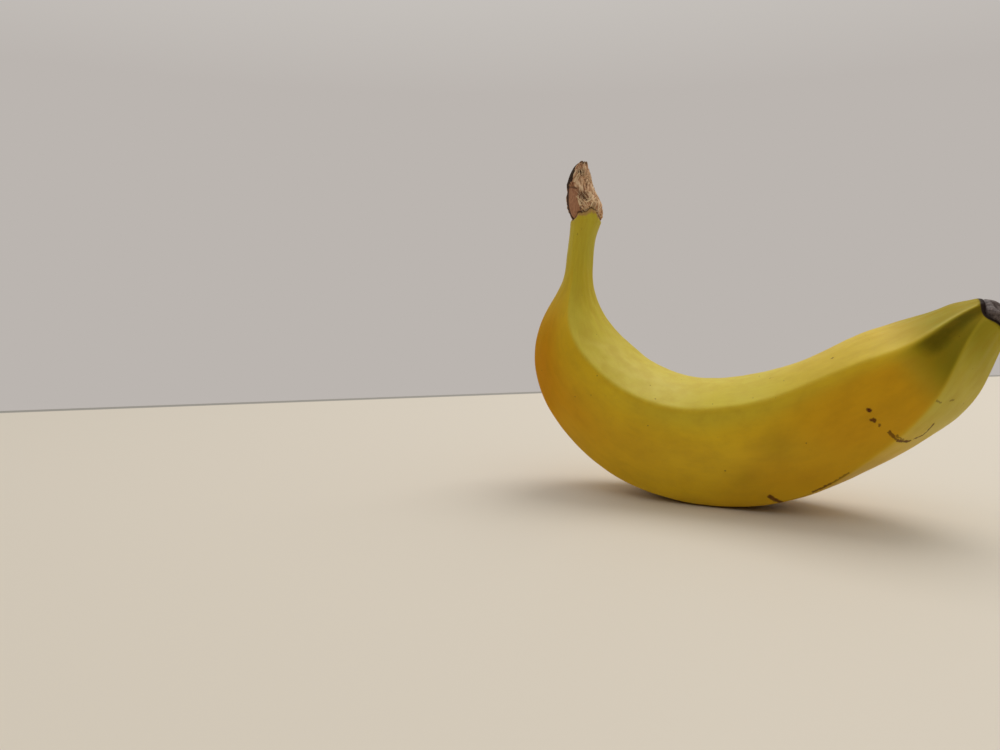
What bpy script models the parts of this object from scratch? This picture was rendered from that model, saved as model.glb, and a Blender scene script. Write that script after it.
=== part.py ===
"""A ripe banana that rests on the outer side of its curve, as it was picked and torn off its bunch.

The fruit is one closed body: rings of points around a curved spine, joined into a skin. The rings
start at the ragged top of the dry stem end, run down the neck and along the five-ridged fruit, and
end in the black blossom tip. X runs from the stem side to the blossom side and Z is up.
"""
import bmesh
import bpy
import numpy as np

# Driving dimensions, in millimetres and degrees
MM = 0.001
SPINE_Y = -1.1                    # place of the spine across the fruit, which centres its box on the origin
SIDES = 48                        # points in each ring
FRUIT_RINGS = 58                  # rings from the collar at the top of the neck to the end of the peel
STEM_END_RINGS = 9                # rings of the dry stem end, above the collar

# Spine of the fruit from the collar to the end of the peel, with the fruit's half depth in the plane
# of its bend and its half width across that plane: (x, z, half depth, half width)
FRUIT_STATIONS = [
    (-48.7, 83.0, 4.6, 5.0),
    (-49.6, 78.5, 3.9, 4.8),
    (-50.4, 72.0, 3.8, 4.8),
    (-51.1, 63.2, 4.6, 5.7),
    (-52.0, 52.5, 9.6, 10.1),
    (-50.0, 41.0, 13.9, 14.0),
    (-43.2, 30.6, 16.1, 16.2),
    (-32.2, 22.2, 17.4, 17.4),
    (-18.1, 17.6, 18.3, 18.0),
    (-3.1, 17.5, 18.8, 18.2),
    (12.8, 21.6, 18.3, 17.9),
    (27.8, 29.2, 17.4, 16.8),
    (41.8, 39.2, 15.5, 14.7),
    (52.2, 48.9, 9.8, 9.7),
    (58.8, 54.6, 5.5, 5.3),
]

# The five ridges: their places around the spine, in degrees from the inner side of the bend toward
# the front, at these fractions of the fruit's length
RIDGE_PLACES = (0.0, 0.12, 0.23, 0.35, 0.50, 0.67, 0.81, 0.91, 1.0)
RIDGE_ANGLES = {
    "inner_front": (90, 90, 71, 60, 55, 52, 53, 60, 43),
    "outer_front": (150, 150, 148, 146, 145, 143, 121, 104, 74),
    "outer_back": (212, 212, 214, 216, 217, 216, 205, 185, 162),
    "back": (280, 280, 280, 280, 280, 280, 270, 258, 248),
    "inner_back": (345, 345, 342, 337, 335, 335, 334, 331, 325),
}
RIDGE_BOLDNESS = (0.3, 0.4, 0.6, 0.6, 0.55, 0.55, 0.6, 0.75, 0.6)    # share of a five-sided form
RIDGE_SHARPNESS = 22.0            # power that rounds the corners of that form, the less the higher it is
ROUND_RADIUS = 0.87               # its mean radius, where its corners are at 1

# Edge of the peel beside the blossom tip: a crest on the inner side and a notch on the front, with their
# places around the spine
EDGE_START = 0.94                 # fraction of the length where they start to grow
CREST_REACH = 1.1
CREST_PLACE = -20.0
NOTCH_DEPTH = 1.6
NOTCH_PLACE = 72.0
NOTCH_WIDTH = 26.0

# Dry stem end: (height above the collar, centre x from the collar, centre y toward the back,
# half depth, half width)
STEM_END_STATIONS = [
    (0.0, 0.0, 0.0, 4.6, 5.0),
    (2.5, -0.45, 0.2, 5.4, 4.9),
    (6.0, -1.05, 0.7, 5.35, 4.5),
    (10.0, -2.2, 1.4, 4.15, 3.6),
    (14.0, -2.45, 2.0, 2.95, 2.7),
    (16.6, -2.15, 2.4, 1.7, 1.7),
    (17.9, -1.7, 2.5, 0.7, 0.8),
]
STRAND_RELIEF = 0.45              # depth of the grooves between its dried strands
STRAND_RUNS = [(9, 0.6, 2.0), (14, 0.4, -3.0)]    # strands around it, share of the relief, twist in radians
STRANDS_FULL = 0.15               # fraction of its height by which the strands have parted in full
STRAND_POINTS = 5                 # uneven points of the torn top
STRAND_JAG = 0.9                  # how far these end above or below each other

# Blossom tip: (height above the end of the peel, radius), turned about an axis that leans up and to
# the front from the spine's end
BLOSSOM_PROFILE = [(0.2, 4.4), (0.5, 4.2), (1.2, 4.2), (2.0, 4.0), (2.5, 3.5), (2.7, 2.6), (2.1, 1.4)]
BLOSSOM_LEAN = 12.0               # degrees from the spine's end toward straight up
BLOSSOM_TURN = 20.0               # degrees from there toward the front
BLOSSOM_LOBES = 0.05              # how far its five corners stand out, as a fraction of the radius
BLOSSOM_PIT = 1.8                 # height of the middle of its hollow end


def spline(knots, values, at):
    """Natural cubic curve through (knots, values): the smoothest curve with no bend at its two ends."""
    knots = np.asarray(knots, float)
    values = np.asarray(values, float)
    gaps = np.diff(knots)
    slopes = np.diff(values) / gaps
    count = len(knots)
    matrix = np.eye(count)
    right = np.zeros(count)
    for i in range(1, count - 1):
        matrix[i, i - 1:i + 2] = gaps[i - 1], 2 * (gaps[i - 1] + gaps[i]), gaps[i]
        right[i] = 6 * (slopes[i] - slopes[i - 1])
    bends = np.linalg.solve(matrix, right)
    i = np.clip(np.searchsorted(knots, at, side="right") - 1, 0, count - 2)
    ahead = knots[i + 1] - at
    behind = at - knots[i]
    gap = gaps[i]
    cubic = (bends[i] * ahead ** 3 + bends[i + 1] * behind ** 3) / (6 * gap)
    line = (values[i] * ahead + values[i + 1] * behind) / gap
    return cubic + line - (bends[i] * ahead + bends[i + 1] * behind) * gap / 6


def along_stations(stations):
    """Fractions of the way along the chords between the stations, from 0 to 1."""
    points = np.array(stations)[:, :2]
    steps = np.hypot(*np.diff(points, axis=0).T)
    return np.concatenate([[0.0], np.cumsum(steps)]) / steps.sum()


def spine(along):
    """Place (x, z) and inward unit direction (x, z) of the fruit's spine at the fraction along."""
    stations = np.array(FRUIT_STATIONS)
    knots = along_stations(FRUIT_STATIONS)
    step = 0.001
    ends = [np.clip(along + side, 0.0, 1.0) for side in (-step, step)]
    x = spline(knots, stations[:, 0], along)
    z = spline(knots, stations[:, 1], along)
    run = spline(knots, stations[:, 0], ends[1]) - spline(knots, stations[:, 0], ends[0])
    rise = spline(knots, stations[:, 1], ends[1]) - spline(knots, stations[:, 1], ends[0])
    length = np.hypot(run, rise)
    return x, z, -rise / length, run / length


def ridge_factor(along, around):
    """How far the skin stands out from the plain oval: a share of a form with a corner on each ridge."""
    corners = [spline(RIDGE_PLACES, angles, along) for angles in RIDGE_ANGLES.values()]
    sides = 0.0
    for corner, following in zip(corners, corners[1:] + [corners[0] + 360]):
        toward = np.cos(np.radians(around - (corner + following) / 2))
        away = np.cos(np.radians(following - corner) / 2)
        sides = sides + (np.maximum(toward, 0) / away) ** RIDGE_SHARPNESS
    form = sides ** (-1 / RIDGE_SHARPNESS)
    return 1 + spline(RIDGE_PLACES, RIDGE_BOLDNESS, along) * (form - ROUND_RADIUS)


def ring(centre, inward, half_depth, half_width, factor, around):
    """Points around a centre: the half depth toward the inner side, the half width toward the front."""
    inner = half_depth * factor * np.cos(np.radians(around))
    front = half_width * factor * np.sin(np.radians(around))
    return np.stack([centre[0] + inner * inward[0], centre[1] - front, centre[2] + inner * inward[1]], -1)


def fruit_ring(along, around):
    """Ring of the peel at a fraction of the way from the collar to the blossom end."""
    x, z, inward_x, inward_z = spine(along)
    knots = along_stations(FRUIT_STATIONS)
    stations = np.array(FRUIT_STATIONS)
    half_depth = spline(knots, stations[:, 2], along)
    half_width = spline(knots, stations[:, 3], along)
    factor = ridge_factor(along, around)
    grown = max(0.0, (along - EDGE_START) / (1 - EDGE_START)) ** 2
    crest = CREST_REACH * (0.5 + 0.5 * np.cos(np.radians(around - CREST_PLACE))) ** 2
    from_notch = (around - NOTCH_PLACE + 180) % 360 - 180
    reach = grown * (crest - NOTCH_DEPTH * np.exp(-(from_notch / NOTCH_WIDTH) ** 2))
    centre = (x + reach * inward_z, SPINE_Y, z - reach * inward_x)
    return ring(centre, (inward_x, inward_z), half_depth, half_width, factor, around)


def stem_end_ring(up, around):
    """Ring of the dry stem end, from 0 at the collar, where its strands start to part, to 1 on top."""
    stations = np.array(STEM_END_STATIONS)
    heights = stations[:, 0]
    height = up * heights[-1]
    shift_x, shift_y, half_depth, half_width = (spline(heights, c, height) for c in stations[:, 1:].T)
    x, z, inward_x, inward_z = spine(0.0)
    turn = np.radians(around)
    strands = sum(share * np.cos(count * turn + twist * up) for count, share, twist in STRAND_RUNS)
    parted = min(1.0, up / STRANDS_FULL) * STRAND_RELIEF / (half_depth + half_width)
    factor = 1 + (ridge_factor(0.0, around) - 1) * (1 - up) + parted * strands
    centre = (x + shift_x, SPINE_Y + shift_y, z + height)
    points = ring(centre, (inward_x, inward_z), half_depth, half_width, factor, around)
    points[:, 2] += STRAND_JAG * up ** 6 * np.cos(STRAND_POINTS * turn + 1)
    return points


def blossom_ring(rise, radius, around):
    """Ring of the blossom tip, round with five blunt corners."""
    x, z, inward_x, inward_z = spine(1.0)
    lean, aside = np.radians(BLOSSOM_LEAN), np.radians(BLOSSOM_TURN)
    up_x = inward_z * np.cos(lean) + inward_x * np.sin(lean)
    up_z = inward_z * np.sin(lean) - inward_x * np.cos(lean)
    axis = np.array([up_x * np.cos(aside), -np.sin(aside), up_z * np.cos(aside)])
    inner = np.array([-up_z, 0.0, up_x])
    front = np.array([-up_x * np.sin(aside), -np.cos(aside), -up_z * np.sin(aside)])
    turn = np.radians(around)[:, None]
    size = radius * (1 + BLOSSOM_LOBES * np.cos(5 * turn))
    return np.array([x, SPINE_Y, z]) + axis * rise + size * (np.cos(turn) * inner + np.sin(turn) * front)


def skin_rings():
    """All rings from the torn top of the stem end to the blossom tip, with the hollow middle of each end."""
    around = np.arange(SIDES) * 360 / SIDES
    stem_end = [stem_end_ring(up, around) for up in np.linspace(1, 0, STEM_END_RINGS + 1)[:-1]]
    fruit = [fruit_ring(along, around) for along in np.linspace(0, 1, FRUIT_RINGS)]
    blossom = [blossom_ring(rise, radius, around) for rise, radius in BLOSSOM_PROFILE]
    top = stem_end[0].mean(axis=0) - (0, 0, STRAND_JAG)
    pit = blossom_ring(BLOSSOM_PIT, 0.0, around)[0]
    return stem_end, fruit, blossom, top, pit


def material(name, colour, roughness):
    """Plain Principled material."""
    made = bpy.data.materials.new(name)
    made.use_nodes = True
    shader = made.node_tree.nodes["Principled BSDF"]
    shader.inputs["Base Color"].default_value = (*colour, 1)
    shader.inputs["Roughness"].default_value = roughness
    return made


def placed(point):
    """A point in metres, pressed flat where it would lie below the surface that the fruit rests on."""
    return point[0] * MM, point[1] * MM, max(point[2], 0.0) * MM


def banana():
    """The whole fruit as one closed mesh."""
    stem_end, fruit, blossom, top, pit = skin_rings()
    body = bmesh.new()
    rings = []
    for points in stem_end + fruit + blossom:
        rings.append([body.verts.new(placed(point)) for point in points])
    for index, (upper, lower) in enumerate(zip(rings, rings[1:])):
        slot = 1 if index < len(stem_end) else 0
        slot = 2 if index >= len(stem_end) + len(fruit) - 1 else slot
        for j in range(SIDES):
            following = (j + 1) % SIDES
            face = body.faces.new((upper[j], lower[j], lower[following], upper[following]))
            face.material_index = slot
    for end, middle, slot in ((rings[0], top, 1), (rings[-1][::-1], pit, 2)):
        centre = body.verts.new(placed(middle))
        for j in range(SIDES):
            face = body.faces.new((centre, end[j], end[(j + 1) % SIDES]))
            face.material_index = slot
    bmesh.ops.recalc_face_normals(body, faces=body.faces)
    mesh = bpy.data.meshes.new("banana")
    body.to_mesh(mesh)
    body.free()
    mesh.materials.append(material("ripe_peel", (0.42, 0.28, 0.03), 0.45))
    mesh.materials.append(material("dry_stem", (0.36, 0.22, 0.12), 0.9))
    mesh.materials.append(material("blossom_black", (0.05, 0.035, 0.03), 0.8))
    mesh.shade_smooth()
    return bpy.data.objects.new("banana", mesh)


for old in list(bpy.data.objects):
    bpy.data.objects.remove(old, do_unlink=True)
collection = bpy.data.collections.new("banana")
bpy.context.scene.collection.children.link(collection)
collection.objects.link(banana())
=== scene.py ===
import math

import bpy
import numpy as np
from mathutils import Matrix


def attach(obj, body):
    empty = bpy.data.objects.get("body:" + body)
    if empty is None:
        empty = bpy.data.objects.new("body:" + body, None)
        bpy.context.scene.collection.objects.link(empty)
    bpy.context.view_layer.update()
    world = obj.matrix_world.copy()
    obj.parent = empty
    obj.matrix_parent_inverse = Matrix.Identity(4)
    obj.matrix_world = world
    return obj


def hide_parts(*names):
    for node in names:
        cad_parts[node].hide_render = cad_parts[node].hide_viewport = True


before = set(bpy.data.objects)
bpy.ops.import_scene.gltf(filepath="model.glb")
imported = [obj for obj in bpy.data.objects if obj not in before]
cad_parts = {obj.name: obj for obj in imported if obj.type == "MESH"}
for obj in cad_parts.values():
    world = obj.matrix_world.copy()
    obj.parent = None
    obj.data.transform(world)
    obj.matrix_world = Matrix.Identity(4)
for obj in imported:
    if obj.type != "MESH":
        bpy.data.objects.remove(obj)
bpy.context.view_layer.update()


# The peel
# The fruit's whole skin, one waxy rind that grew with five rounded ridges. It narrows to the neck,
# where a ragged lip was left when the fruit was torn off, and it ends under the blossom tip.

MM = 0.001
SPINE_Y = -1.1
PEEL_ROWS = 400
PEEL_COLUMNS = 240
TURN = np.arange(PEEL_COLUMNS) * 360 / PEEL_COLUMNS

# spine x and z, half depth in the plane of the bend and half width across it, in millimetres
FRUIT_STATIONS = np.array([
    (-48.7, 83.0, 4.6, 5.0),
    (-49.6, 78.5, 3.9, 4.8),
    (-50.4, 72.0, 3.8, 4.8),
    (-51.1, 63.2, 4.6, 5.7),
    (-52.0, 52.5, 9.6, 10.1),
    (-50.0, 41.0, 13.9, 14.0),
    (-43.2, 30.6, 16.1, 16.2),
    (-32.2, 22.2, 17.4, 17.4),
    (-18.1, 17.6, 18.3, 18.0),
    (-3.1, 17.5, 18.8, 18.2),
    (12.8, 21.6, 18.3, 17.9),
    (27.8, 29.2, 17.4, 16.8),
    (41.8, 39.2, 15.5, 14.7),
    (52.2, 48.9, 9.8, 9.7),
    (58.8, 54.6, 5.5, 5.3),
])
FRUIT_LENGTH = 172.0
STRAIGHT_RADIUS = 18.0

# each ridge's place in degrees around the spine, from the inner side of the bend toward the front,
# at these fractions of the length, and the share of a five-sided form that the section has there
RIDGE_PLACES = (0.0, 0.12, 0.23, 0.35, 0.50, 0.67, 0.81, 0.91, 1.0)
RIDGE_ANGLES = {
    "inner_front": (90, 90, 71, 60, 55, 52, 53, 60, 43),
    "outer_front": (150, 150, 148, 146, 145, 143, 121, 104, 74),
    "outer_back": (212, 212, 214, 216, 217, 216, 205, 185, 162),
    "back": (280, 280, 280, 280, 280, 280, 270, 258, 248),
    "inner_back": (345, 345, 342, 337, 335, 335, 334, 331, 325),
}
RIDGE_BOLDNESS = (0.3, 0.4, 0.6, 0.6, 0.55, 0.55, 0.6, 0.75, 0.6)
# the power that rounds the corners of that form, the less the higher it is, and the form's mean radius
RIDGE_SHARPNESS = 38.0
ROUND_RADIUS = 0.87

# edge of the peel beside the blossom tip: where it starts to grow, the crest's reach and its place in
# degrees, and the notch's depth, place and width
EDGE_START = 0.94
CREST_REACH, CREST_PLACE = 1.1, -20.0
NOTCH_DEPTH, NOTCH_PLACE, NOTCH_WIDTH = 1.6, 72.0, 26.0

# how the peel is rounded over at its rims, in millimetres
RIM_DROP, RIM_WIDTH = 0.8, 1.2

# the dry stem end's height, centre and size, which the peel's lip follows too
STEM_END_STATIONS = np.array([
    (0.0, 0.0, 0.0, 4.6, 5.0),
    (2.5, -0.45, 0.2, 5.4, 4.9),
    (6.0, -1.05, 0.7, 5.35, 4.5),
    (10.0, -2.2, 1.4, 4.15, 3.6),
    (14.0, -2.45, 2.0, 2.95, 2.7),
    (16.6, -2.15, 2.4, 1.7, 1.7),
    (17.9, -1.7, 2.5, 0.7, 0.8),
])
STEM_END_HEIGHT = STEM_END_STATIONS[-1, 0]


def spline(knots, values, at):
    """Natural cubic curve through (knots, values): curvature is continuous, and zero at both ends."""
    knots = np.asarray(knots, float)
    values = np.asarray(values, float)
    gaps = np.diff(knots)
    slopes = np.diff(values) / gaps
    inner = np.diag(2 * (gaps[:-1] + gaps[1:])) + np.diag(gaps[1:-1], 1) + np.diag(gaps[1:-1], -1)
    bends = np.concatenate([[0.0], np.linalg.solve(inner, 6 * np.diff(slopes)), [0.0]])
    i = np.clip(np.searchsorted(knots, at, side="right") - 1, 0, len(gaps) - 1)
    ahead, behind, gap = knots[i + 1] - at, at - knots[i], gaps[i]
    cubic = (bends[i] * ahead ** 3 + bends[i + 1] * behind ** 3) / (6 * gap)
    line = (values[i] * ahead + values[i + 1] * behind) / gap
    return cubic + line - (bends[i] * ahead + bends[i + 1] * behind) * gap / 6


def smooth(value, low, high):
    """Goes from 0 at low to 1 at high as 3t^2 - 2t^3."""
    t = np.clip((value - low) / (high - low), 0, 1)
    return t * t * (3 - 2 * t)


def patch(value, middle, reach):
    """Bell curve exp(-((value - middle) / reach)^2)."""
    return np.exp(-((value - middle) / reach) ** 2)


def turn_from(around, middle):
    """Shortest turn in degrees from the middle angle, from -180 to 180."""
    return (around - middle + 180) % 360 - 180


def swells(points, seed, wavelengths, waves=14):
    """Even, slow noise from -1 to 1: the mean of sine waves in random directions and phases."""
    draw = np.random.default_rng(seed)
    directions = draw.normal(size=(waves, 3))
    directions /= np.linalg.norm(directions, axis=1)[:, None]
    numbers = 2 * math.pi / draw.uniform(*wavelengths, waves)
    phases = draw.uniform(0, 2 * math.pi, waves)
    return np.sin(points @ (directions * numbers[:, None]).T + phases).mean(-1) * math.sqrt(waves / 2)


def spine(along):
    """Spine place (x, z) and inward unit direction (x, z), the slope turned by a right angle."""
    steps = np.hypot(*np.diff(FRUIT_STATIONS[:, :2], axis=0).T)
    knots = np.concatenate([[0.0], np.cumsum(steps)]) / steps.sum()
    x, z, depth, width = (spline(knots, column, along) for column in FRUIT_STATIONS.T)
    before, after = np.clip(along - 0.001, 0, 1), np.clip(along + 0.001, 0, 1)
    run = spline(knots, FRUIT_STATIONS[:, 0], after) - spline(knots, FRUIT_STATIONS[:, 0], before)
    rise = spline(knots, FRUIT_STATIONS[:, 1], after) - spline(knots, FRUIT_STATIONS[:, 1], before)
    length = np.hypot(run, rise)
    return x, z, -rise / length, run / length, depth, width


def ridge_factor(along, around):
    """1 plus boldness x (a five-sided form, with a corner at 1 on each ridge, less its mean radius)."""
    corners = [spline(RIDGE_PLACES, angles, along) for angles in RIDGE_ANGLES.values()]
    sides = 0.0
    for corner, following in zip(corners, corners[1:] + [corners[0] + 360]):
        toward = np.cos(np.radians(around - (corner + following) / 2))
        away = np.cos(np.radians(following - corner) / 2)
        sides = sides + (np.maximum(toward, 0) / away) ** RIDGE_SHARPNESS
    return 1 + spline(RIDGE_PLACES, RIDGE_BOLDNESS, along) * (sides ** (-1 / RIDGE_SHARPNESS) - ROUND_RADIUS)


def ring(x, y, z, inward_x, inward_z, depth, width, around):
    """Oval ring: the centre plus depth x cos toward the inner side and width x sin toward the front."""
    inner = depth * np.cos(np.radians(around))
    front = width * np.sin(np.radians(around))
    return np.stack(np.broadcast_arrays(x + inner * inward_x, y - front, z + inner * inward_z), -1)


def straight(along, around):
    """The same place on a straight fruit of even radius, for patterns that follow the skin."""
    turn = np.radians(around)
    across, toward = STRAIGHT_RADIUS * np.cos(turn), STRAIGHT_RADIUS * np.sin(turn)
    return np.stack(np.broadcast_arrays(along * FRUIT_LENGTH, across, toward), -1)


def peel_relief(along, around):
    """Millimetres that the skin stands proud: slow swells, wrinkles down the neck, puckers at the tip and a
    hump on the crest before it."""
    places = straight(along, around)
    turn = np.radians(around)
    swell = 0.16 * swells(places, 3, (14, 40)) + 0.05 * swells(places, 4, (4, 9))
    neck = 1 - smooth(along, 0.03, 0.20)
    wrinkles = 0.014 * neck * (np.cos(13 * turn + 9 * along) + 0.6 * np.cos(22 * turn - 14 * along))
    tip = smooth(along, 0.955, 1.0)
    puckers = 0.05 * tip * (np.cos(11 * turn + 2) + 0.7 * np.cos(17 * turn))
    hump = 0.55 * patch(along, 0.972, 0.015) * patch(turn_from(around, CREST_PLACE), 0, 45)
    return swell * smooth(along, 0.0, 0.1) * (1 - 0.6 * tip) + wrinkles + puckers + hump


def fruit_skin(along, around, proud):
    """Oval ring x ridge factor, plus millimetres proud and growth^2 x (crest reach x (0.5 + 0.5 cos turn)^2
    - notch depth x bell curve) along the spine, pressed flat where the fruit rests."""
    x, z, inward_x, inward_z, depth, width = spine(along)
    factor = ridge_factor(along, around)
    grown = np.maximum(0, (along - EDGE_START) / (1 - EDGE_START)) ** 2
    crest = CREST_REACH * (0.5 + 0.5 * np.cos(np.radians(around - CREST_PLACE))) ** 2
    reach = grown * (crest - NOTCH_DEPTH * patch(turn_from(around, NOTCH_PLACE), 0, NOTCH_WIDTH))
    x, z = x + reach * inward_z, z - reach * inward_x
    points = ring(x, SPINE_Y, z, inward_x, inward_z, depth * factor + proud, width * factor + proud, around)
    points[..., 2] = np.maximum(points[..., 2], 0)
    return points


def stem_end_skin(up, around, proud):
    """Oval ring that follows the dry end's stations, its ridges fading upward, plus millimetres proud."""
    height = np.clip(up, 0, 1) * STEM_END_HEIGHT
    heights, *columns = STEM_END_STATIONS.T
    shift_x, shift_y, depth, width = (spline(heights, column, height) for column in columns)
    x, z, inward_x, inward_z, _, _ = spine(0.0)
    factor = 1 + (ridge_factor(0.0, around) - 1) * (1 - np.clip(up, 0, 1))
    return ring(
        x + shift_x, SPINE_Y + shift_y, z + up * STEM_END_HEIGHT,
        inward_x, inward_z, depth * factor + proud, width * factor + proud, around,
    )


def lip_height(around):
    """Top of the torn peel in millimetres above the collar: two tongues on the front and a ragged edge."""
    turn = np.radians(around)
    ragged = 0.16 * np.cos(7 * turn + 1) + 0.10 * np.cos(16 * turn + 4)
    lobes = 4.0 * patch(turn_from(around, 45), 0, 43) + 0.7 * patch(turn_from(around, 98), 0, 20)
    return lobes - 1.0 * patch(turn_from(around, 160), 0, 40) + ragged


def peel_skin(along, around, rim):
    """Fruit skin, or above the collar the stem end's oval, with the relief, rounded over at the rim by
    drop x (1 - sqrt(1 - (1 - distance / width)^2)), where rim is the distance to it in millimetres."""
    over = 1 - np.clip(rim / RIM_WIDTH, 0, 1)
    proud = peel_relief(np.maximum(along, 0), around) - RIM_DROP * (1 - np.sqrt(1 - over ** 2))
    above = stem_end_skin(np.maximum(-along, 0) * FRUIT_LENGTH / STEM_END_HEIGHT, around, proud)
    return np.where(along[..., None] < 0, above, fruit_skin(np.maximum(along, 0), around, proud))


def closed_tube(name, points):
    """Mesh of rings of points, first ring to last, with each end closed by a fan to its middle."""
    rows, columns = points.shape[:2]
    middles = points[[0, -1]].mean(axis=1)
    spots = np.concatenate([points.reshape(-1, 3), middles]) * MM
    here = np.arange(columns)
    beside = (here + 1) % columns
    starts = (np.arange(rows - 1) * columns)[:, None]
    quads = np.stack([starts + here, starts + beside, starts + beside + columns, starts + here + columns], -1)
    first = np.stack([np.full(columns, rows * columns), beside, here], -1)
    last_ring = (rows - 1) * columns
    last = np.stack([np.full(columns, rows * columns + 1), last_ring + here, last_ring + beside], -1)
    mesh = bpy.data.meshes.new(name)
    mesh.from_pydata(spots.tolist(), [], quads.reshape(-1, 4).tolist() + first.tolist() + last.tolist())
    mesh.shade_smooth()
    piece = bpy.data.objects.new(name, mesh)
    bpy.context.scene.collection.objects.link(piece)
    return piece


def note(piece, name, values):
    """Keeps one number or one vector for each point of the rings, and its mean for the two middles."""
    columns = values.shape[1]
    ends = np.stack([values[0].mean(axis=0), values[-1].mean(axis=0)])
    flat = np.concatenate([values.reshape((-1,) + values.shape[2:]), ends])
    kind, field = ("FLOAT_VECTOR", "vector") if values.ndim == 3 else ("FLOAT", "value")
    attribute = piece.data.attributes.new(name, kind, "POINT")
    attribute.data.foreach_set(field, flat.astype(np.float32).ravel())


# rows from the lip to the blossom end, closer together at both
row = np.linspace(0, 1, PEEL_ROWS)[:, None]
row = row - 0.9 * np.sin(2 * math.pi * row) / (2 * math.pi)
lip_along = -lip_height(TURN) / FRUIT_LENGTH
along = lip_along + (1 - lip_along) * row
around = TURN * np.ones((PEEL_ROWS, 1))
from_lip, from_tip = (along - lip_along) * FRUIT_LENGTH, (1 - along) * FRUIT_LENGTH
peel = closed_tube("peel", peel_skin(along, around, np.minimum(from_lip, from_tip)))
places = straight(along, around)
note(peel, "straight", places)

held = np.clip(along, 0, 1)
inner_turn = turn_from(around, spline(RIDGE_PLACES, RIDGE_ANGLES["inner_front"], held))
outer_turn = turn_from(around, spline(RIDGE_PLACES, RIDGE_ANGLES["outer_front"], held))

# where the peel is still green: the neck, the blossom end and the front below the outer ridge before
# it, the face between the inner ridges, and a band under the front one
inner_face = smooth(inner_turn, 4, -3) * smooth(inner_turn, -150, -100)
green = np.maximum.reduce([
    (0.75 + 0.25 * smooth(turn_from(around, 75), 20, -60)) * (1 - smooth(along, 0.05, 0.20)),
    smooth(along, 0.84, 0.96) * (0.75 + 0.25 * swells(places, 8, (12, 30))),
    0.8 * smooth(along, 0.76, 0.88) * smooth(outer_turn, -2, 3),
    (0.75 - 0.35 * smooth(along, 0.60, 0.80)) * inner_face,
    0.45 * patch(inner_turn, 6, 11) * patch(along, 0.55, 0.20),
])
note(peel, "green", np.clip(green, 0, 1))

# where the shoulder and the cheek have ripened to orange
front_face = smooth(inner_turn, 2, 14) * smooth(outer_turn, 3, -4)
warm = np.maximum(
    patch(along, 0.25, 0.11) * smooth(turn_from(around, 74), 0, 50) * smooth(-turn_from(around, 235), 0, 40),
    0.54 * smooth(along, 0.52, 0.76) * smooth(along, 0.93, 0.84) * front_face,
)
note(peel, "warm", np.clip(warm + 0.14 * swells(places, 5, (14, 40)), 0, 1))

# where it is dull olive, partly the peel's own colour and partly painted shade: the hollow along the front
# inner ridge before the blossom tip and the skin on both sides of it, darkened as painted shade, three faint
# bruises, and the peel's very end
olive_and_shade = np.maximum.reduce([
    smooth(along, 0.86, 0.92) * smooth(inner_turn, -2, 6) * patch(np.maximum(inner_turn - 12, 0), 0, 26),
    0.75 * smooth(along, 0.84, 0.92) * smooth(inner_turn, -2, 8) * smooth(outer_turn, 3, -3),
    0.50 * smooth(along, 0.895, 0.975) * smooth(outer_turn, -5, 5) * patch(outer_turn, 0, 80),
    0.55 * smooth(along, 0.86, 0.95) * smooth(inner_turn, 4, -6),
    0.22 * patch(along, 0.655, 0.026) * patch(around, 92, 13),
    0.16 * patch(along, 0.600, 0.020) * patch(around, 118, 12),
    0.18 * patch(along, 0.745, 0.035) * patch(around, 150, 14),
    0.7 * smooth(from_tip, 2.2, 0.6),
])
note(peel, "olive_and_shade", np.clip(olive_and_shade, 0, 1))

# the black line where the peel ends under the blossom tip
note(peel, "burnt", smooth(from_tip, 0.85, 0.45))

# the dried rim of the torn lip, broad on its tongues: 0 where it starts, 1 at the edge
tongue = 0.7 + 1.5 * patch(turn_from(around, 55), 0, 46) + 0.3 * swells(places, 9, (2, 6))
note(peel, "rim", np.clip(1 - from_lip / tongue, 0, 1))

# marks on the peel from one point to another, each (fraction along, degrees around) twice, then its
# half width in millimetres and its strength
PEEL_MARKS = [
    (0.792, 91, 0.792, 92, 0.80, 1.0),
    (0.788, 100, 0.789, 101, 0.75, 0.9),
    (0.792, 106, 0.792, 107, 0.45, 0.7),
    (0.798, 115, 0.800, 125, 0.50, 0.75),
    (0.800, 125, 0.811, 140, 0.62, 0.9),
    (0.803, 120, 0.806, 129, 0.40, 0.6),
    (0.818, 142, 0.829, 148, 0.50, 0.9),
    (0.828, 148, 0.846, 142, 0.50, 0.9),
    (0.868, 115, 0.870, 121, 0.40, 0.5),
    (0.880, 131, 0.884, 137, 0.40, 0.5),
    (0.784, 27, 0.785, 27, 0.36, 0.9),
    (0.647, 4, 0.648, 5, 0.30, 0.7),
    (0.671, 20, 0.672, 20, 0.30, 0.7),
    (0.541, -20, 0.542, -19, 0.30, 0.7),
    (0.405, 36, 0.406, 36, 0.30, 0.6),
    (0.435, 51, 0.436, 51, 0.28, 0.6),
    (0.571, 108, 0.572, 108, 0.35, 0.6),
    (0.028, 90, 0.028, 92, 0.50, 0.45),
    (0.018, 76, 0.018, 77, 0.40, 0.35),
    (0.622, 139, 0.632, 146, 0.80, 0.9),
    (0.638, 148, 0.643, 150, 0.55, 0.8),
    (0.675, 142, 0.699, 139, 0.42, 0.8),
    (0.699, 139, 0.725, 135, 0.36, 0.6),
    (0.30, 208, 0.33, 212, 0.70, 0.8),
    (0.46, 196, 0.47, 199, 0.50, 0.7),
    (0.58, 262, 0.60, 263, 0.45, 0.7),
    (0.72, 238, 0.721, 239, 0.60, 0.9),
    (0.66, 330, 0.67, 331, 0.40, 0.6),
    (0.36, 290, 0.361, 291, 0.55, 0.9),
]


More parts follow.
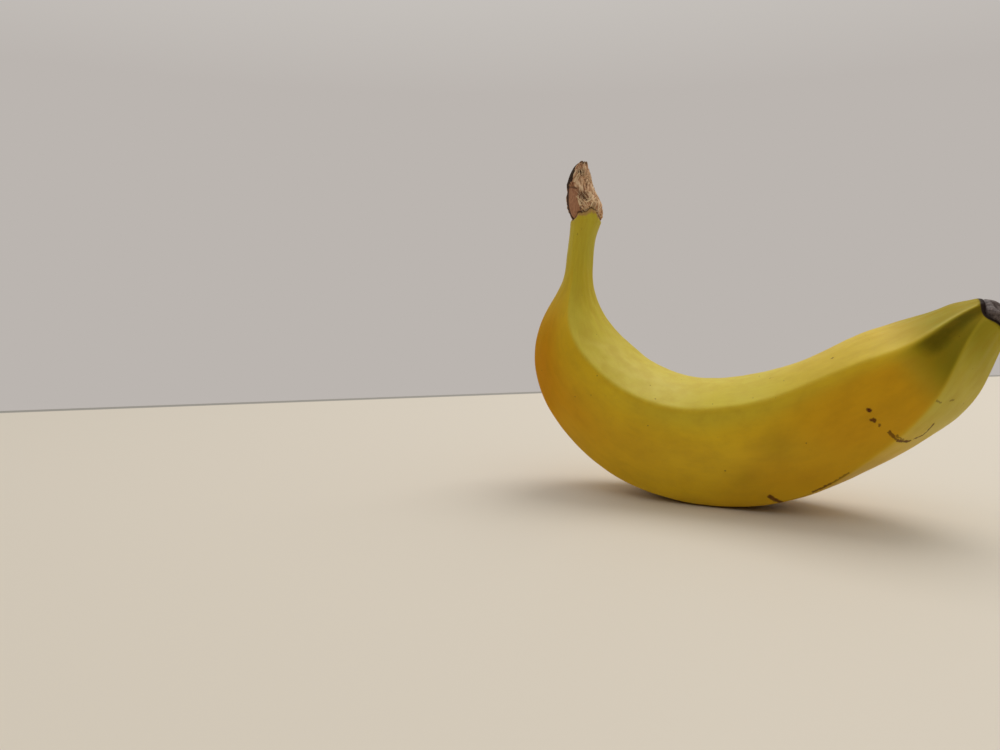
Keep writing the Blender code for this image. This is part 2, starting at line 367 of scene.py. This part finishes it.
def adder(tree):
    """Returns a function that adds a node of a kind, with its settings by name and, for each input by its
    place, a link or a value."""
    def add(kind, inputs=(), **settings):
        made = tree.nodes.new("ShaderNode" + kind)
        for key, value in settings.items():
            setattr(made, key, value)
        for place, value in (inputs.items() if isinstance(inputs, dict) else enumerate(inputs)):
            if isinstance(value, bpy.types.NodeSocket):
                tree.links.new(value, made.inputs[place])
            elif value is not None:
                made.inputs[place].default_value = value
        return made
    return add


def srgb(red, green, blue):
    """Linear colour from 0 to 255 screen numbers."""
    screen = np.array([red, green, blue]) / 255
    return (*np.where(screen <= 0.04045, screen / 12.92, ((screen + 0.055) / 1.055) ** 2.4).tolist(), 1.0)


def new_finish(name):
    """An empty Principled material with its tree, its node adder and its shader."""
    made = bpy.data.materials.new(name)
    made.use_nodes = True
    tree = made.node_tree
    return made, tree, adder(tree), tree.nodes["Principled BSDF"]


def blend(add, factor, one, other):
    """Colour that goes from one to other as the factor goes from 0 to 1."""
    return add("Mix", {0: factor, 6: one, 7: other}, data_type="RGBA").outputs[2]


def number(add, how, one, other=0.0, third=0.0):
    """One step of arithmetic on two or three numbers."""
    return add("Math", (one, other, third), operation=how).outputs[0]


def span(add, value, low, high, start=0.0, end=1.0):
    """Carries a number from the range low to high to the range start to end, held at its ends."""
    return add("MapRange", {0: value, 1: low, 2: high, 3: start, 4: end}, clamp=True).outputs[0]


def grain(add, place, stretch, scale, detail=3.0, rough=0.55):
    """Noise from 0 to 1 at a place in millimetres, stretched along each axis."""
    moved = add("VectorMath", (place, stretch), operation="MULTIPLY").outputs[0]
    return add("TexNoise", {"Vector": moved, "Scale": scale, "Detail": detail, "Roughness": rough}).outputs[0]


def mark_mask(add, place, start, way, half_width, strength):
    """Distance in millimetres from a place to the line from start by way, less a half width, as a mask."""
    from_start = add("VectorMath", (place, start), operation="SUBTRACT").outputs[0]
    part = add("VectorMath", (from_start, way / (way @ way)), operation="DOT_PRODUCT").outputs["Value"]
    part = number(add, "MAXIMUM", number(add, "MINIMUM", part, 1.0), 0.0)
    nearest = add("VectorMath", {0: way, 3: part}, operation="SCALE").outputs[0]
    away = add("VectorMath", (from_start, nearest), operation="DISTANCE").outputs["Value"]
    sizes = {0: away, 1: half_width, 2: 0.4 * half_width, 3: 0.0, 4: strength}
    return add("MapRange", sizes, interpolation_type="SMOOTHSTEP").outputs[0]


def peel_finish():
    """Ripe yellow skin, green and orange by its notes, dull olive near the blossom tip partly as painted
    shade, streaked lengthwise, with brown marks and a waxy gloss."""
    made, tree, add, shader = new_finish("banana_peel")
    place = add("Attribute", attribute_name="straight").outputs["Vector"]
    notes = ("green", "warm", "olive_and_shade", "rim", "burnt")
    green, warm, olive_and_shade, rim, burnt = (add("Attribute", attribute_name=name).outputs["Fac"] for name in notes)
    broad = grain(add, place, (0.5, 1, 1), 0.07, 2.0)
    mottle = grain(add, place, (0.7, 1, 1), 0.22, 4.0, 0.6)
    streaks = grain(add, place, (0.12, 1, 1), 0.9, 4.0, 0.6)
    fine = grain(add, place, (0.6, 1, 1), 2.6, 4.0, 0.7)
    colour = blend(add, span(add, broad, 0.35, 0.65), srgb(222, 180, 18), srgb(234, 194, 24))
    colour = blend(add, warm, colour, srgb(214, 148, 28))
    colour = blend(add, green, colour, srgb(204, 192, 58))
    # dull olive, the peel's own colour and, in the hollow and on the faces near the blossom tip, painted
    # shade
    colour = blend(add, olive_and_shade, colour, srgb(96, 86, 8))
    colour = blend(add, span(add, mottle, 0.42, 0.68, 0.0, 0.22), colour, srgb(176, 132, 22))
    colour = blend(add, span(add, streaks, 0.35, 0.7, 0.0, 0.07), colour, srgb(160, 116, 20))
    colour = blend(add, span(add, fine, 0.62, 0.78, 0.0, 0.15), colour, srgb(150, 98, 24))
    # the marks' edges are ragged, because the place is shaken a little before their distance is taken
    shake = add("TexNoise", {"Vector": place, "Scale": 1.1, "Detail": 3.0}).outputs[1]
    shaken = add("VectorMath", (shake, (0.5, 0.5, 0.5)), operation="SUBTRACT").outputs[0]
    shaken = add("VectorMath", (shaken, (1.1, 1.1, 1.1), place), operation="MULTIPLY_ADD").outputs[0]
    marks = 0.0
    for start_along, start_turn, end_along, end_turn, half_width, strength in PEEL_MARKS:
        start, end = straight(np.array([start_along, end_along]), np.array([start_turn, end_turn]))
        mark = mark_mask(add, shaken, start, end - start + (0.01, 0, 0), half_width, strength)
        marks = number(add, "MAXIMUM", marks, mark)
    scar = blend(add, span(add, fine, 0.4, 0.6), srgb(70, 30, 14), srgb(108, 58, 24))
    colour = blend(add, marks, colour, scar)
    # brown dots of dust and sap, sparse and small
    dots = add("TexVoronoi", {"Vector": place, "Scale": 0.30, "Randomness": 1.0}, feature="F1")
    chosen = number(add, "GREATER_THAN", add("SeparateColor", (dots.outputs["Color"],)).outputs[0], 0.72)
    speck = number(add, "MULTIPLY", span(add, dots.outputs["Distance"], 0.035, 0.075, 0.75, 0.0), chosen)
    colour = blend(add, speck, colour, srgb(96, 66, 24))
    # the rim dries to tan and, at its very edge, to dark brown
    dried = number(add, "MULTIPLY_ADD", number(add, "SUBTRACT", fine, 0.5), 0.5, rim)
    colour = blend(add, span(add, dried, 0.05, 0.45), colour, srgb(186, 146, 84))
    colour = blend(add, span(add, dried, 0.62, 0.95), colour, srgb(66, 42, 26))
    colour = blend(add, burnt, colour, srgb(44, 32, 28))
    tree.links.new(colour, shader.inputs["Base Color"])
    gloss = span(add, mottle, 0.3, 0.7, 0.44, 0.54)
    gloss = number(add, "MULTIPLY_ADD", number(add, "MAXIMUM", marks, rim), 0.3, gloss)
    tree.links.new(gloss, shader.inputs["Roughness"])
    height = number(add, "MULTIPLY_ADD", fine, 0.4, streaks)
    height = number(add, "MULTIPLY_ADD", marks, -0.8, height)
    bump = add("Bump", {"Strength": 0.25, "Distance": 0.00012, "Height": height})
    tree.links.new(bump.outputs[0], shader.inputs["Normal"])
    # the olive and the orange parts are less waxy
    matt = number(add, "MAXIMUM", olive_and_shade, number(add, "MULTIPLY", warm, 0.7))
    gleam = number(add, "MAXIMUM", number(add, "MULTIPLY_ADD", matt, -0.4, 0.27), 0.03)
    tree.links.new(gleam, shader.inputs["Specular IOR Level"])
    shader.inputs["Subsurface Weight"].default_value = 0.05
    shader.inputs["Subsurface Radius"].default_value = (1.0, 0.45, 0.1)
    shader.inputs["Subsurface Scale"].default_value = 0.002
    return made


peel.data.materials.append(peel_finish())
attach(peel, "root")
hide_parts("banana")


# The dry stem end
# The torn end of the stalk, a wedge of dried, shredded fibres that comes up out of the peel's lip.
# Its left flank keeps a smooth panel of dry brown skin under a ledge, black along the outer edge.

STEM_ROWS = 260
STEM_COLUMNS = 300
STEM_FOOT = -0.20
FIBRE_RELIEF = 0.65
# the smooth panel: its two sides in degrees around the stem, and the ledge over it
PANEL_START, PANEL_END = 84, 168
LEDGE_HEIGHT = 9.6
# runs of matted fibres: how many around the stem, how much they slant in radians per millimetre, phase
FIBRE_RUNS = [(13, 0.25, 0.3), (19, -0.35, 1.9), (27, 0.15, 4.1), (17, 0.75, 2.6), (23, -0.8, 0.9)]


def matted(height, around):
    """Strongest of the fibre runs, each a row of rounded crests |cos| that shows only in its own patches."""
    turn = np.radians(around)
    places = np.stack([height, 5 * np.cos(turn), 5 * np.sin(turn)], -1)
    best = np.zeros(height.shape)
    for index, (count, slant, phase) in enumerate(FIBRE_RUNS):
        drift = 0.9 * swells(places, 20 + index, (3, 8))
        wave = 0.5 * (count * turn + slant * count * height * 0.25 + phase * 2) + drift
        crest = np.abs(np.cos(wave)) ** 0.8
        shows = smooth(swells(places, 40 + index, (3, 7)), -0.5, 0.9)
        best = np.maximum(best, crest * (0.35 + 0.65 * shows))
    return best


def stem_end_surface(up, around):
    """The dry end's oval rings plus the mat's relief, flat on the smooth panel, with two pits, a narrow
    foot inside the peel and a ragged top."""
    height = up * STEM_END_HEIGHT
    turn = np.radians(around)
    ledge = LEDGE_HEIGHT + 0.5 * np.cos(3 * turn)
    panel = smooth(turn_from(around, PANEL_START), 0, 5) * smooth(turn_from(around, PANEL_END), 0, -8)
    panel = panel * smooth(height, ledge, ledge - 0.5)
    mat = matted(height, around)
    above_lip = height - lip_height(around)
    foot = 0.5 * smooth(above_lip, 1.2, 0.0) + 1.6 * smooth(above_lip, 0.0, -2.0)
    pits = patch(height, 14.6, 0.8) * patch(turn_from(around, 74), 0, 20)
    pits = np.maximum(pits, 0.85 * patch(height, 7.2, 1.2) * patch(turn_from(around, 72), 0, 17))
    overhang = 0.35 * patch(height, ledge + 0.6, 0.7) * patch(turn_from(around, 115), 0, 40)
    proud = FIBRE_RELIEF * (mat - 0.55) * (1 - 0.9 * panel) - 0.25 * panel - foot - 0.9 * pits + overhang
    points = stem_end_skin(up, around, proud)
    points[..., 2] += (0.15 * np.cos(5 * turn + 1) + 0.15 * np.cos(11 * turn + 2)) * np.clip(up, 0, 1) ** 6
    return points, mat, panel, pits


stem_up = np.linspace(1, STEM_FOOT, STEM_ROWS)[:, None] * np.ones(STEM_COLUMNS)
stem_turn = np.ones((STEM_ROWS, 1)) * np.arange(STEM_COLUMNS) * 360 / STEM_COLUMNS
stem_points, mat, panel, pits = stem_end_surface(stem_up, stem_turn)
stem_end = closed_tube("dry_stem_end", stem_points)
note(stem_end, "mat", mat)
note(stem_end, "panel", panel)

# blackened: the outer edge, wider above the ledge, the panel's inner edge, the very top and, by half, the far
# side; plus painted shadow, a dark line under the fibres at the lip and one under the ledge, and painted
# shade in the pits
stem_height = stem_up * STEM_END_HEIGHT
reach = 12 + 24 * smooth(stem_height, 8.5, 12) * smooth(stem_height, 17.0, 14.0)
worn = 0.5 + 0.5 * swells(np.stack([stem_height, stem_turn / 12, 0 * mat], -1), 71, (1.5, 4))
from_panel = turn_from(stem_turn, PANEL_START + 2 * np.cos(2 * stem_height))
scorch_and_shade = np.maximum.reduce([
    smooth(np.abs(turn_from(stem_turn, 153)), reach + 6, reach - 4),
    (0.5 + 0.4 * worn) * patch(stem_height - lip_height(stem_turn), 0.1, 0.3),
    (0.3 + 0.5 * worn) * patch(from_panel, 0, 4) * smooth(stem_height, 9.8, 9.0),
    0.7 * patch(stem_height, LEDGE_HEIGHT - 0.2, 0.35) * patch(turn_from(stem_turn, 112), 0, 30),
    (0.4 + 0.5 * worn) * smooth(stem_height, 16.8, 17.7),
    0.95 * pits,
    0.5 * patch(turn_from(stem_turn, 250), 0, 50),
])
note(stem_end, "scorch_and_shade", np.clip(scorch_and_shade, 0, 1))


def stem_end_finish():
    """Tan fibres, pale on their crests and dark brown between them, the dark partly painted shade in the
    grooves, with the smooth panel red brown, the edges black, and painted shadow under the fibres at the lip
    and under the ledge and painted shade in the pits."""
    made, tree, add, shader = new_finish("dry_stem")
    mat_note, panel_note, scorch_and_shade_note = (
        add("Attribute", attribute_name=name).outputs["Fac"] for name in ("mat", "panel", "scorch_and_shade"))
    place = add("TexCoord").outputs["Object"]
    shred = grain(add, place, (1, 1, 0.25), 2600.0, 5.0, 0.65)
    blotch = grain(add, place, (1, 1, 1), 300.0, 3.0)
    # the fibres go dark brown in the grooves between their crests, partly painted shade
    level = number(add, "MULTIPLY_ADD", shred, 0.36, number(add, "MULTIPLY_ADD", mat_note, 0.72, 0.09))
    ramp = add("ValToRGB", (level,))
    stops = ramp.color_ramp
    stops.elements[0].position, stops.elements[0].color = 0.36, srgb(56, 30, 18)
    stops.elements[1].position, stops.elements[1].color = 0.96, srgb(240, 208, 170)
    for position, colour in ((0.52, srgb(144, 94, 66)), (0.70, srgb(204, 156, 118))):
        stops.elements.new(position).color = colour
    colour = blend(add, span(add, blotch, 0.4, 0.65, 0.0, 0.3), ramp.outputs[0], srgb(164, 112, 78))
    skin = blend(add, span(add, shred, 0.3, 0.7), srgb(156, 104, 78), srgb(200, 148, 112))
    colour = blend(add, panel_note, colour, skin)
    # black where the stem end is scorched, and painted shadow under the fibres at the lip and under the ledge
    # and painted shade in the pits
    colour = blend(add, number(add, "MULTIPLY", scorch_and_shade_note, 0.94), colour, srgb(40, 24, 16))
    tree.links.new(colour, shader.inputs["Base Color"])
    shader.inputs["Roughness"].default_value = 0.85
    shader.inputs["Specular IOR Level"].default_value = 0.2
    bump = add("Bump", {"Strength": 0.6, "Distance": 0.0002, "Height": shred})
    tree.links.new(bump.outputs[0], shader.inputs["Normal"])
    return made


stem_end.data.materials.append(stem_end_finish())
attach(stem_end, "root")
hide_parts("banana")


# Loose fibres of the stem end
# Dried strands that pulled free when the stalk tore. They are rooted in the mat, lie up along it
# and lift off at their tips, most of them on the torn front.

FIBRE_COUNT = 160
FIBRE_STEPS = 12
FIBRE_SIDES = 5
STEM_RADIUS = 4.2
# the stoutest ones: place around, root's height, length, slant, curl, and paleness
STOUT_FIBRES = [
    (112, 10.6, 4.6, -0.35, -0.5, 0.9), (104, 10.3, 4.0, -0.15, -0.4, 1.0), (96, 10.9, 3.2, -0.5, 0.2, 0.8),
    (84, 3.6, 3.6, 0.45, -0.7, 1.0), (78, 3.9, 3.4, 0.7, -0.9, 0.9), (66, 3.6, 3.8, 0.5, 0.3, 0.8),
    (52, 3.8, 4.4, -0.3, -0.5, 1.0), (40, 3.4, 4.0, -0.6, 0.6, 0.7), (60, 6.0, 3.6, -0.8, 0.4, 0.9),
    (70, 5.2, 3.0, -1.1, 0.5, 1.0), (30, 5.5, 4.2, 0.2, 0.3, 0.8), (20, 2.6, 4.6, -0.2, 0.2, 0.9),
]


def loose_fibres():
    """Tapered tubes: each strand climbs from its root with a steady slant and a slow curl, and its lift
    from the mat grows with the square of the way along it. The stout ones come first."""
    draw = np.random.default_rng(12)
    way = np.linspace(0, 1, FIBRE_STEPS)
    count = FIBRE_COUNT - len(STOUT_FIBRES)
    stout = np.array(STOUT_FIBRES)
    root_turn = np.append(stout[:, 0], PANEL_START - np.abs(draw.normal(0, 75, count)))
    root_height = np.append(stout[:, 1], draw.uniform(1.5, 14.5, count))
    shorter = 1 - 0.35 * root_height[len(stout):] / 16
    length = np.append(stout[:, 2], draw.uniform(1.8, 5.5, count) * shorter)
    slant = np.append(stout[:, 3], draw.normal(0, 0.45, count))
    curl = np.append(stout[:, 4], draw.normal(0, 0.5, count))
    lift = np.append(0.6 + 0 * stout[:, 0], draw.uniform(0.1, 0.7, count))
    thickness = np.append(0.30 + 0 * stout[:, 0], draw.uniform(0.08, 0.19, count))
    angle = slant[:, None] + curl[:, None] * way
    step = length[:, None] / FIBRE_STEPS
    height = root_height[:, None] + np.cumsum(np.cos(angle), 1) * step
    height = np.minimum(height, STEM_END_HEIGHT - 0.3)
    turned = root_turn[:, None] + np.degrees(np.cumsum(np.sin(angle), 1) * step / STEM_RADIUS)
    root_gap = np.maximum(lip_height(turned) - height + 0.6, 0)
    proud = -0.15 + lift[:, None] * way ** 2 - 0.8 * smooth(root_gap, 0, 1.2)
    line = stem_end_skin(height / STEM_END_HEIGHT, turned, proud)
    tangent = np.gradient(line, axis=1)
    tangent /= np.linalg.norm(tangent, axis=2, keepdims=True) + 1e-9
    side = np.cross(tangent, (0.3, 0.5, 0.8))
    side /= np.linalg.norm(side, axis=2, keepdims=True)
    over = np.cross(tangent, side)
    spin = np.arange(FIBRE_SIDES) * 2 * math.pi / FIBRE_SIDES
    taper = thickness[:, None] * (1 - 0.75 * way ** 1.5)
    offset = side[:, :, None] * np.cos(spin)[:, None] + over[:, :, None] * np.sin(spin)[:, None]
    paleness = np.append(stout[:, 5], draw.uniform(0, 1, count))
    return line[:, :, None] + offset * taper[:, :, None, None], paleness


def strand_mesh(name, points):
    """One mesh of many closed tubes: points by strand, step and side, with a flat end face at each end."""
    strands, steps, sides = points.shape[:3]
    index = np.arange(strands * steps * sides).reshape(strands, steps, sides)
    beside = np.roll(index, -1, axis=2)
    quads = np.stack([index[:, :-1], beside[:, :-1], beside[:, 1:], index[:, 1:]], -1).reshape(-1, 4)
    ends = index[:, 0, ::-1].tolist() + index[:, -1].tolist()
    mesh = bpy.data.meshes.new(name)
    mesh.from_pydata((points.reshape(-1, 3) * MM).tolist(), [], quads.tolist() + ends)
    mesh.shade_smooth()
    piece = bpy.data.objects.new(name, mesh)
    bpy.context.scene.collection.objects.link(piece)
    return piece


def fibre_finish():
    """Dry straw, from tan to cream by strand."""
    made, tree, add, shader = new_finish("dry_fibre")
    tone = add("Attribute", attribute_name="tone").outputs["Fac"]
    ramp = add("ValToRGB", (tone,))
    ramp.color_ramp.elements[0].color = srgb(136, 92, 60)
    ramp.color_ramp.elements[1].color = srgb(236, 206, 164)
    tree.links.new(ramp.outputs[0], shader.inputs["Base Color"])
    shader.inputs["Roughness"].default_value = 0.8
    return made


fibre_points, fibre_tone = loose_fibres()
fibres = strand_mesh("stem_fibres", fibre_points)
tone = fibres.data.attributes.new("tone", "FLOAT", "POINT")
tone.data.foreach_set("value", np.repeat(fibre_tone, FIBRE_STEPS * FIBRE_SIDES).astype(np.float32))
fibres.data.materials.append(fibre_finish())
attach(fibres, "root")
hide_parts("banana")


# The blossom tip
# The black scar where the flower dried and fell: a leathery ring with five blunt corners and a
# hollow, crumbly middle, sunk a little into the end of the peel.

BLOSSOM_PROFILE = [
    (-1.5, 3.6), (0.2, 4.4), (0.5, 4.2), (1.2, 4.2), (2.0, 4.0), (2.5, 3.5), (2.7, 2.6), (2.1, 1.4),
    (1.8, 0.3),
]
BLOSSOM_LEAN = math.radians(12)
BLOSSOM_TURN = math.radians(20)
BLOSSOM_LOBES = 0.05
BLOSSOM_ROWS = 110
BLOSSOM_COLUMNS = 200


def blossom_surface(way, around):
    """The profile's (rise, radius) curve turned about an axis that leans up and to the front, with five
    corners and a crumbly skin."""
    profile = np.array(BLOSSOM_PROFILE)
    knots = np.linspace(0, 1, len(profile))
    rise, radius = spline(knots, profile[:, 0], way), spline(knots, profile[:, 1], way)
    x, z, inward_x, inward_z, _, _ = spine(1.0)
    up_x = inward_z * math.cos(BLOSSOM_LEAN) + inward_x * math.sin(BLOSSOM_LEAN)
    up_z = inward_z * math.sin(BLOSSOM_LEAN) - inward_x * math.cos(BLOSSOM_LEAN)
    cosine, sine = math.cos(BLOSSOM_TURN), math.sin(BLOSSOM_TURN)
    axis = np.array([up_x * cosine, -sine, up_z * cosine])
    front = np.array([-up_x * sine, -cosine, -up_z * sine])
    inner = np.array([-up_z, 0, up_x])
    turn = np.radians(around)
    places = np.stack([radius * np.cos(turn), radius * np.sin(turn), rise], -1)
    crumbs = 0.12 * swells(places, 61, (1.2, 3.0), 24) + 0.06 * swells(places, 62, (0.5, 1.1), 24)
    size = radius * (1 + BLOSSOM_LOBES * np.cos(5 * turn)) + crumbs * np.clip(radius, 0, 1)
    sides = np.cos(turn)[..., None] * inner + np.sin(turn)[..., None] * front
    return np.array([x, SPINE_Y, z]) + axis * rise[..., None] + sides * size[..., None]


def blossom_finish():
    """Purple-grey, painted paler on its crumbly crests as highlight and black-brown in its hollows as shade,
    and black-brown at its foot.
    """
    made, tree, add, shader = new_finish("blossom_black")
    place = add("TexCoord").outputs["Object"]
    crumb = grain(add, place, (1, 1, 1), 1300.0, 6.0, 0.65)
    # painted highlight on the crumbly crests and painted shade in the hollows, by the same noise as the bump
    colour = blend(add, span(add, crumb, 0.35, 0.68), srgb(56, 44, 42), srgb(128, 112, 108))
    foot = add("Attribute", attribute_name="foot").outputs["Fac"]
    colour = blend(add, foot, colour, srgb(40, 28, 24))
    tree.links.new(colour, shader.inputs["Base Color"])
    shader.inputs["Roughness"].default_value = 0.62
    bump = add("Bump", {"Strength": 0.7, "Distance": 0.0003, "Height": crumb})
    tree.links.new(bump.outputs[0], shader.inputs["Normal"])
    return made


blossom_way = np.linspace(0, 1, BLOSSOM_ROWS)[:, None] * np.ones(BLOSSOM_COLUMNS)
blossom_turn = np.ones((BLOSSOM_ROWS, 1)) * np.arange(BLOSSOM_COLUMNS) * 360 / BLOSSOM_COLUMNS
blossom = closed_tube("blossom_tip", blossom_surface(blossom_way, blossom_turn))
note(blossom, "foot", 0.85 * smooth(blossom_way, 0.34, 0.26))
blossom.data.materials.append(blossom_finish())
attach(blossom, "root")
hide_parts("banana")


# Floor, light and camera
# A pale table whose far edge shows behind the fruit, a soft light from above and behind, and the
# camera about 23 cm away, low and turned toward the stem.

CAMERA_PLACE = (0.0265, -0.2250, 0.0596)
CAMERA_HEADING = 25.0
CAMERA_DIP = 6.0
CAMERA_LENS = 27.0
LIGHT_PLACE = (0.10, 0.40, 0.86)
LIGHT_SIZE = 0.6
LIGHT_WATTS = 3.7
# the table's far edge: its distance from the fruit, and its turn in degrees
TABLE_DEPTH = 0.2554
TABLE_TURN = 40.7
TABLE_REACH = 3
back_x, back_y = -math.sin(math.radians(TABLE_TURN)), math.cos(math.radians(TABLE_TURN))


def floor_finish():
    """Pale matt table top, with a grey band along its far edge, painted as the shade on its bevel."""
    made, tree, add, shader = new_finish("floor_pale")
    place = add("TexCoord").outputs["Object"]
    depth = add("VectorMath", (place, (back_x, back_y, 0.0)), operation="DOT_PRODUCT").outputs["Value"]
    # a grey band along the far edge, painted shade of the table's bevel
    bevel_shade = span(add, depth, TABLE_DEPTH - 0.009, TABLE_DEPTH - 0.007)
    colour = blend(add, bevel_shade, srgb(219, 210, 197), srgb(148, 144, 138))
    tree.links.new(colour, shader.inputs["Base Color"])
    shader.inputs["Roughness"].default_value = 0.6
    return made


floor_mesh = bpy.data.meshes.new("floor")
side = np.array([-1, 1, 1, -1]) * TABLE_REACH
deep = np.array([-TABLE_REACH, -TABLE_REACH, TABLE_DEPTH, TABLE_DEPTH])
corners = np.stack([side * back_y + deep * back_x, deep * back_y - side * back_x, 0 * deep], -1)
floor_mesh.from_pydata(corners.tolist(), [], [(0, 1, 2, 3)])
floor = bpy.data.objects.new("floor", floor_mesh)
bpy.context.scene.collection.objects.link(floor)
floor_mesh.materials.append(floor_finish())


def room():
    """Pale wall at the back, a brighter ceiling, and a dimmer room on the camera's side."""
    made = bpy.data.worlds.new("room")
    made.use_nodes = True
    tree = made.node_tree
    add = adder(tree)
    way = add("TexCoord").outputs["Generated"]
    wall = (-math.sin(math.radians(CAMERA_HEADING)), math.cos(math.radians(CAMERA_HEADING)), 0.0)
    back = add("VectorMath", (way, wall), operation="DOT_PRODUCT").outputs["Value"]
    up = add("SeparateXYZ", (way,)).outputs[2]
    colour = blend(add, span(add, back, -0.1, 0.6), srgb(66, 60, 55), srgb(187, 181, 176))
    colour = blend(add, span(add, up, 0.25, 0.8), colour, srgb(232, 231, 225))
    tree.links.new(colour, tree.nodes["Background"].inputs[0])
    return made


bpy.context.scene.world = room()


def soft_light(name, place, target, size, watts, colour):
    """A square area light at a place, turned to a target."""
    light = bpy.data.lights.new(name, "AREA")
    light.shape = "SQUARE"
    light.size = size
    light.energy = watts
    light.color = colour
    made = bpy.data.objects.new(name, light)
    made.location = place
    direction = np.array(target) - np.array(place)
    across = math.hypot(direction[0], direction[1])
    made.rotation_euler = (math.atan2(across, -direction[2]), 0, math.atan2(-direction[0], direction[1]))
    bpy.context.scene.collection.objects.link(made)


soft_light("ceiling_light", LIGHT_PLACE, (0, 0, 0.03), LIGHT_SIZE, LIGHT_WATTS, (1.0, 0.97, 0.92))

camera = bpy.data.cameras.new("camera")
camera.lens = CAMERA_LENS
camera.clip_start = 0.005
camera_object = bpy.data.objects.new("camera", camera)
camera_object.location = CAMERA_PLACE
camera_object.rotation_euler = (math.radians(90 - CAMERA_DIP), 0, math.radians(CAMERA_HEADING))
bpy.context.scene.collection.objects.link(camera_object)
bpy.context.scene.camera = camera_object
bpy.context.scene.view_settings.view_transform = "Standard"
